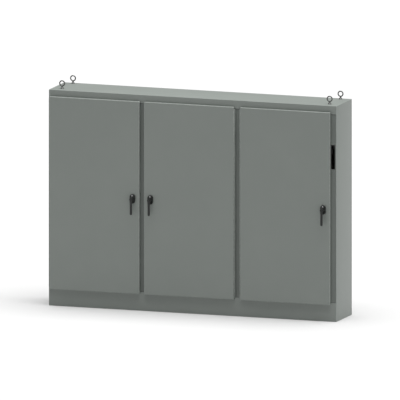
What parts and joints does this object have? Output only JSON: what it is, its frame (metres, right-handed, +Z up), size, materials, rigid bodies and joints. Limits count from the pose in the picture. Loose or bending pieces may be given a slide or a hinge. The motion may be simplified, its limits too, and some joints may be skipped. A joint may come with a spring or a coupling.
{
  "type": "electrical enclosure",
  "caption": "Free-standing sheet-steel switchgear cabinet with hinged pan doors, lever-operated latch rods, roof lifting eyes and an open cut-out in its side flange.",
  "frame": {"origin": "centre of the underside of the body, on the floor", "axes": "+X to the right as seen from the front, +Y to the back, +Z up"},
  "size_m": [2.9718, 0.5412, 2.2165],
  "materials": {
    "cabinet_paint": "grey polyester powder coat, fine orange peel",
    "strip_paint": "grey polyester powder coat on the recessed uprights",
    "handle_black": "black powder-coated die casting",
    "eye_steel": "dark drop-forged steel, phosphated and oiled",
    "zinc": "bright zinc-plated steel",
    "gasket_foam": "black closed-cell foam",
    "panel_white": "white polyester powder coat",
    "lock_chrome": "bright chromed zinc",
    "nylon": "natural nylon",
    "pocket_paint": "grey polyester powder coat"
  },
  "bodies": {
    "cabinet": {"back_panel": "cabinet_paint", "left_side": "cabinet_paint", "right_side": "cabinet_paint", "top_panel": "cabinet_paint", "bottom_panel": "cabinet_paint", "top_rail": "cabinet_paint", "base_rail": "cabinet_paint", "left_flange": "strip_paint", "right_flange": "strip_paint", "post_1": "strip_paint", "post_2": "strip_paint", "post_fixings": "zinc", "lifting_eyes": "eye_steel", "eye_nuts": "zinc", "mounting_panel_1": "panel_white", "mounting_panel_2": "panel_white", "mounting_panel_3": "panel_white", "panel_studs": "zinc", "panel_nuts": "zinc", "ground_studs": "zinc", "frame_hinge_leaves": "cabinet_paint", "hinge_pins": "zinc"},
    "door_1": {"door_1": "cabinet_paint", "gasket_1": "gasket_foam", "door_bracing_1": "cabinet_paint", "door_hinge_leaf_1": "cabinet_paint", "handle_base_1": "handle_black"},
    "handle_1": {"handle_1": "handle_black", "latch_cam_1": "zinc"},
    "lock_plug_1": {"lock_plug_1": "lock_chrome"},
    "upper_rod_1": {"upper_rod_1": "zinc"},
    "upper_roller_1": {"upper_roller_1": "nylon"},
    "lower_rod_1": {"lower_rod_1": "zinc"},
    "lower_roller_1": {"lower_roller_1": "nylon"},
    "door_2": {"door_2": "cabinet_paint", "gasket_2": "gasket_foam", "door_bracing_2": "cabinet_paint", "door_hinge_leaf_2": "cabinet_paint", "handle_base_2": "handle_black"},
    "handle_2": {"handle_2": "handle_black", "latch_cam_2": "zinc"},
    "lock_plug_2": {"lock_plug_2": "lock_chrome"},
    "upper_rod_2": {"upper_rod_2": "zinc"},
    "upper_roller_2": {"upper_roller_2": "nylon"},
    "lower_rod_2": {"lower_rod_2": "zinc"},
    "lower_roller_2": {"lower_roller_2": "nylon"},
    "door_3": {"door_3": "cabinet_paint", "gasket_3": "gasket_foam", "door_bracing_3": "cabinet_paint", "door_hinge_leaf_3": "cabinet_paint", "handle_base_3": "handle_black", "document_pocket": "pocket_paint"},
    "handle_3": {"handle_3": "handle_black", "latch_cam_3": "zinc"},
    "lock_plug_3": {"lock_plug_3": "lock_chrome"},
    "upper_rod_3": {"upper_rod_3": "zinc"},
    "upper_roller_3": {"upper_roller_3": "nylon"},
    "lower_rod_3": {"lower_rod_3": "zinc"},
    "lower_roller_3": {"lower_roller_3": "nylon"}
  },
  "joints": [
    {"name": "door_1_swing", "type": "hinge", "parent": "cabinet", "child": "door_1", "pos_m": [-1.4767, -0.2426, 1.1068], "axis": [0, 0, -1], "range_deg": [0, 120]},
    {"name": "handle_1_turn", "type": "hinge", "parent": "door_1", "child": "handle_1", "pos_m": [-0.6099, -0.2566, 1.1068], "axis": [0, 1, 0], "range_deg": [0, 90]},
    {"name": "lock_1_turn", "type": "hinge", "parent": "door_1", "child": "lock_plug_1", "pos_m": [-0.6099, -0.2566, 1.1378], "axis": [0, 1, 0], "range_deg": [0, 90]},
    {"name": "upper_rod_1_slide", "type": "slide", "parent": "door_1", "child": "upper_rod_1", "axis": [0, 0, 1], "range_m": [0, 0.0354]},
    {"name": "upper_roller_1_spin", "type": "hinge", "parent": "upper_rod_1", "child": "upper_roller_1", "pos_m": [-0.63124, -0.2145, 2.0358], "axis": [1, 0, 0], "continuous": true},
    {"name": "lower_rod_1_slide", "type": "slide", "parent": "door_1", "child": "lower_rod_1", "axis": [0, 0, -1], "range_m": [0, 0.0354]},
    {"name": "lower_roller_1_spin", "type": "hinge", "parent": "lower_rod_1", "child": "lower_roller_1", "pos_m": [-0.58856, -0.2145, 0.2018], "axis": [1, 0, 0], "continuous": true},
    {"name": "door_2_swing", "type": "hinge", "parent": "cabinet", "child": "door_2", "pos_m": [0.4409, -0.2426, 1.1068], "axis": [0, 0, 1], "range_deg": [0, 120]},
    {"name": "handle_2_turn", "type": "hinge", "parent": "door_2", "child": "handle_2", "pos_m": [-0.4259, -0.2566, 1.1068], "axis": [0, -1, 0], "range_deg": [0, 90]},
    {"name": "lock_2_turn", "type": "hinge", "parent": "door_2", "child": "lock_plug_2", "pos_m": [-0.4259, -0.2566, 1.1378], "axis": [0, 1, 0], "range_deg": [0, 90]},
    {"name": "upper_rod_2_slide", "type": "slide", "parent": "door_2", "child": "upper_rod_2", "axis": [0, 0, 1], "range_m": [0, 0.0354]},
    {"name": "upper_roller_2_spin", "type": "hinge", "parent": "upper_rod_2", "child": "upper_roller_2", "pos_m": [-0.40456, -0.2145, 2.0358], "axis": [1, 0, 0], "continuous": true},
    {"name": "lower_rod_2_slide", "type": "slide", "parent": "door_2", "child": "lower_rod_2", "axis": [0, 0, -1], "range_m": [0, 0.0354]},
    {"name": "lower_roller_2_spin", "type": "hinge", "parent": "lower_rod_2", "child": "lower_roller_2", "pos_m": [-0.44724, -0.2145, 0.2018], "axis": [1, 0, 0], "continuous": true},
    {"name": "door_3_swing", "type": "hinge", "parent": "cabinet", "child": "door_3", "pos_m": [0.4926, -0.2426, 1.1068], "axis": [0, 0, 1], "range_deg": [-120, 0]},
    {"name": "handle_3_turn", "type": "hinge", "parent": "door_3", "child": "handle_3", "pos_m": [1.3594, -0.2566, 1.1068], "axis": [0, 1, 0], "range_deg": [0, 90]},
    {"name": "lock_3_turn", "type": "hinge", "parent": "door_3", "child": "lock_plug_3", "pos_m": [1.3594, -0.2566, 1.1378], "axis": [0, 1, 0], "range_deg": [0, 90]},
    {"name": "upper_rod_3_slide", "type": "slide", "parent": "door_3", "child": "upper_rod_3", "axis": [0, 0, 1], "range_m": [0, 0.0354]},
    {"name": "upper_roller_3_spin", "type": "hinge", "parent": "upper_rod_3", "child": "upper_roller_3", "pos_m": [1.33806, -0.2145, 2.0358], "axis": [1, 0, 0], "continuous": true},
    {"name": "lower_rod_3_slide", "type": "slide", "parent": "door_3", "child": "lower_rod_3", "axis": [0, 0, -1], "range_m": [0, 0.0354]},
    {"name": "lower_roller_3_spin", "type": "hinge", "parent": "lower_rod_3", "child": "lower_roller_3", "pos_m": [1.38074, -0.2145, 0.2018], "axis": [1, 0, 0], "continuous": true}
  ],
  "couplings": [
    {"joint": "upper_rod_1_slide", "follows": "handle_1_turn", "m_per_rad": 0.022508},
    {"joint": "lower_rod_1_slide", "follows": "handle_1_turn", "m_per_rad": 0.022508},
    {"joint": "upper_rod_2_slide", "follows": "handle_2_turn", "m_per_rad": 0.022508},
    {"joint": "lower_rod_2_slide", "follows": "handle_2_turn", "m_per_rad": 0.022508},
    {"joint": "upper_rod_3_slide", "follows": "handle_3_turn", "m_per_rad": 0.022508},
    {"joint": "lower_rod_3_slide", "follows": "handle_3_turn", "m_per_rad": 0.022508}
  ]
}
